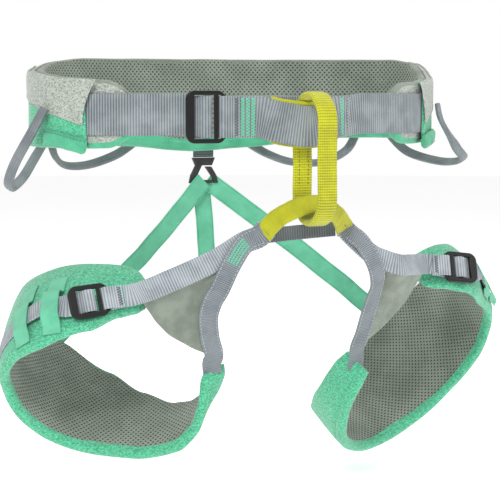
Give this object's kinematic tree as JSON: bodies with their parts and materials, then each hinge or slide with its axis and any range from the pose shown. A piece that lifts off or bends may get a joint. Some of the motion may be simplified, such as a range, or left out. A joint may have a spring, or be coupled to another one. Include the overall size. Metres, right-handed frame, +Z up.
{
  "type": "climbing harness",
  "caption": "Climbing sit harness: padded waist belt with buckle, belay loop, padded adjustable leg loops, rear risers with clip and gear loops.",
  "frame": {"origin": "centre line of the waist opening at the belt webbing's mid height", "axes": "+Z up, -Y towards the front where the climber ties in, +X towards the belt side without the buckle"},
  "size_m": [0.4616, 0.243, 0.3503],
  "materials": {
    "mesh": "spacer mesh",
    "foam": "closed-cell foam",
    "green_fabric": "woven, slightly speckled",
    "melange": "speckled melange",
    "grey_fabric": "plain woven",
    "green_elastic": "ribbed elastic",
    "yellow_webbing": "woven webbing",
    "grey_webbing": "ribbed webbing",
    "stitching": "thread",
    "buckle_metal": "black coated",
    "plastic": "moulded"
  },
  "bodies": {
    "waist": {"leg_bridge": "grey_webbing", "lower_tie_in": "yellow_webbing", "rear_hook": "plastic", "rear_hook_tab": "grey_webbing", "riser_left": "green_elastic", "riser_right": "green_elastic", "riser_tail": "green_elastic", "tie_in_bartack_1": "stitching", "tie_in_bartack_2": "stitching", "tie_in_bartack_3": "stitching", "tie_in_bartack_4": "stitching", "tie_in_inner_webbing": "grey_webbing", "tie_in_protector": "yellow_webbing", "tie_in_webbing": "grey_webbing", "waist_buckle_anchor": "grey_webbing", "waist_cover": "green_fabric", "waist_facing": "green_fabric", "waist_foam": "foam", "waist_lining": "mesh", "waist_webbing": "grey_webbing", "wing_left": "melange", "wing_right": "melange"},
    "belay_loop": {"belay_loop": "yellow_webbing"},
    "gear_loop_front_left": {"gear_loop_front_left": "grey_webbing"},
    "gear_loop_front_right": {"gear_loop_front_right": "grey_webbing"},
    "gear_loop_rear_left": {"gear_loop_rear_left": "grey_webbing"},
    "gear_loop_rear_right": {"gear_loop_rear_right": "grey_webbing"},
    "leg_left": {"leg_adjust_strap_left": "grey_webbing", "leg_buckle_left_anchor": "grey_webbing", "leg_foam_left": "foam", "leg_front_webbing_left": "grey_webbing", "leg_inner_webbing_left": "grey_webbing", "leg_keeper_1_left": "green_elastic", "leg_keeper_2_left": "green_elastic", "leg_lining_left": "mesh", "leg_panel_left": "grey_fabric", "leg_shell_left": "green_fabric"},
    "leg_right": {"leg_adjust_strap_right": "grey_webbing", "leg_buckle_right_anchor": "grey_webbing", "leg_foam_right": "foam", "leg_front_webbing_right": "grey_webbing", "leg_inner_webbing_right": "grey_webbing", "leg_keeper_1_right": "green_elastic", "leg_keeper_2_right": "green_elastic", "leg_lining_right": "mesh", "leg_panel_right": "grey_fabric", "leg_shell_right": "green_fabric"},
    "leg_slider_left": {"leg_buckle_left_fold": "grey_webbing", "leg_buckle_left_slider": "buckle_metal"},
    "leg_buckle_left": {"leg_buckle_left_frame": "buckle_metal"},
    "leg_slider_right": {"leg_buckle_right_fold": "grey_webbing", "leg_buckle_right_slider": "buckle_metal"},
    "leg_buckle_right": {"leg_buckle_right_frame": "buckle_metal"},
    "rear_hook_gate": {"rear_hook_gate": "plastic"},
    "waist_slider": {"waist_buckle_fold": "grey_webbing", "waist_buckle_slider": "buckle_metal"},
    "waist_buckle": {"waist_buckle_frame": "buckle_metal"}
  },
  "joints": [
    {"name": "belay_loop_swing", "type": "hinge", "parent": "waist", "child": "belay_loop", "pos_m": [0, -0.1045, -0.01], "axis": [1, 0, 0], "range_deg": [-6, 2]},
    {"name": "leg_left_flex", "type": "hinge", "parent": "waist", "child": "leg_left", "pos_m": [-0.037, -0.095, -0.095], "axis": [1, 0, 0], "range_deg": [-20, 0]},
    {"name": "leg_right_flex", "type": "hinge", "parent": "waist", "child": "leg_right", "pos_m": [0.037, -0.095, -0.095], "axis": [1, 0, 0], "range_deg": [-20, 0]},
    {"name": "gear_loop_front_left_swing", "type": "hinge", "parent": "waist", "child": "gear_loop_front_left", "pos_m": [-0.18489, 0.01354, -0.01], "axis": [0.2492, 0.9162, -0.3137], "range_deg": [0, 40]},
    {"name": "gear_loop_rear_left_swing", "type": "hinge", "parent": "waist", "child": "gear_loop_rear_left", "pos_m": [-0.11665, 0.0801, -0.0255], "axis": [0.9386, 0.3435, -0.0318], "range_deg": [0, 40]},
    {"name": "gear_loop_rear_right_swing", "type": "hinge", "parent": "waist", "child": "gear_loop_rear_right", "pos_m": [0.08584, 0.08215, -0.024], "axis": [0.9313, -0.3555, 0.0793], "range_deg": [0, 40]},
    {"name": "gear_loop_front_right_swing", "type": "hinge", "parent": "waist", "child": "gear_loop_front_right", "pos_m": [0.15548, 0.00175, -0.007], "axis": [0.028, -0.9522, 0.3042], "range_deg": [0, 40]},
    {"name": "rear_hook_gate_flex", "type": "hinge", "parent": "waist", "child": "rear_hook_gate", "pos_m": [0.0005, 0.101, -0.0516], "axis": [0, -1, 0], "range_deg": [0, 12]},
    {"name": "waist_buckle_tilt", "type": "hinge", "parent": "waist", "child": "waist_buckle", "pos_m": [-0.07049, -0.09158, -0.003], "axis": [0, 0, 1], "range_deg": [0, 30]},
    {"name": "waist_slider_slide", "type": "slide", "parent": "waist_buckle", "child": "waist_slider", "axis": [0.9839, -0.1787, 0], "range_m": [0, 0.001]},
    {"name": "leg_buckle_left_tilt", "type": "hinge", "parent": "leg_left", "child": "leg_buckle_left", "pos_m": [-0.15942, -0.06569, -0.1451], "axis": [-0.0396, 0.3958, 0.9175], "range_deg": [0, 30]},
    {"name": "leg_slider_left_slide", "type": "slide", "parent": "leg_buckle_left", "child": "leg_slider_left", "axis": [0.9783, -0.1714, 0.1162], "range_m": [0, 0.001]},
    {"name": "leg_buckle_right_tilt", "type": "hinge", "parent": "leg_right", "child": "leg_buckle_right", "pos_m": [0.1401, -0.08294, -0.13007], "axis": [-0.1214, -0.3698, -0.9211], "range_deg": [0, 30]},
    {"name": "leg_slider_right_slide", "type": "slide", "parent": "leg_buckle_right", "child": "leg_slider_right", "axis": [-0.9922, 0.0191, 0.1231], "range_m": [0, 0.001]}
  ]
}
